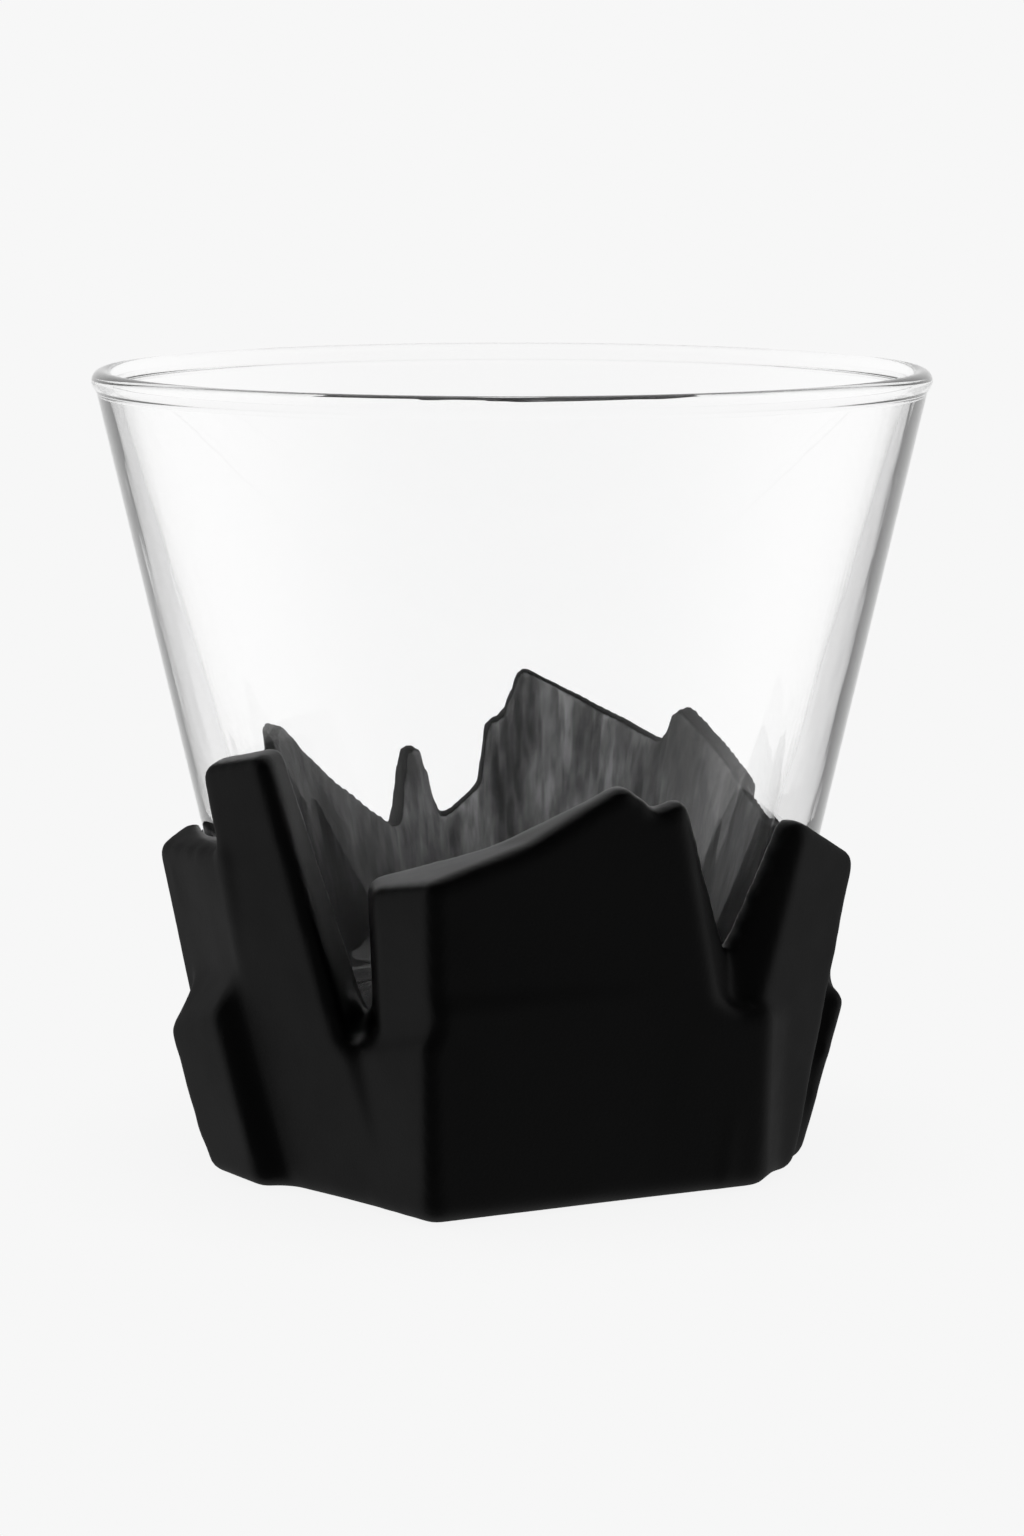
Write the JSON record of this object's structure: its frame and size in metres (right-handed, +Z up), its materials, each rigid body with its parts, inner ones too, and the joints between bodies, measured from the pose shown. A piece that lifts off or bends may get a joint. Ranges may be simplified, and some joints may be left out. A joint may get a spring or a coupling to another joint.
{
  "type": "whiskey tumbler",
  "caption": "Heavy conical drinking glass with a rounded rim, standing in a pull-off silicone boot moulded as a cluster of leaning faceted crystals.",
  "frame": {"origin": "on the glass's axis, on the flat underside of the boot", "axes": "+Z up along the glass's axis, -Y towards the boot's foremost corner, +X to the right of a viewer in front"},
  "size_m": [0.0954, 0.096, 0.09],
  "materials": {
    "clear_glass": "clear, fire-polished",
    "black_silicone": "matt, fine moulded grain"
  },
  "bodies": {
    "boot": {"silicone_boot": "black_silicone"},
    "tumbler": {"glass_tumbler": "clear_glass"}
  },
  "joints": [
    {"name": "glass_lift", "type": "slide", "parent": "boot", "child": "tumbler", "axis": [0, 0, 1], "range_m": [0, 0.06]}
  ]
}
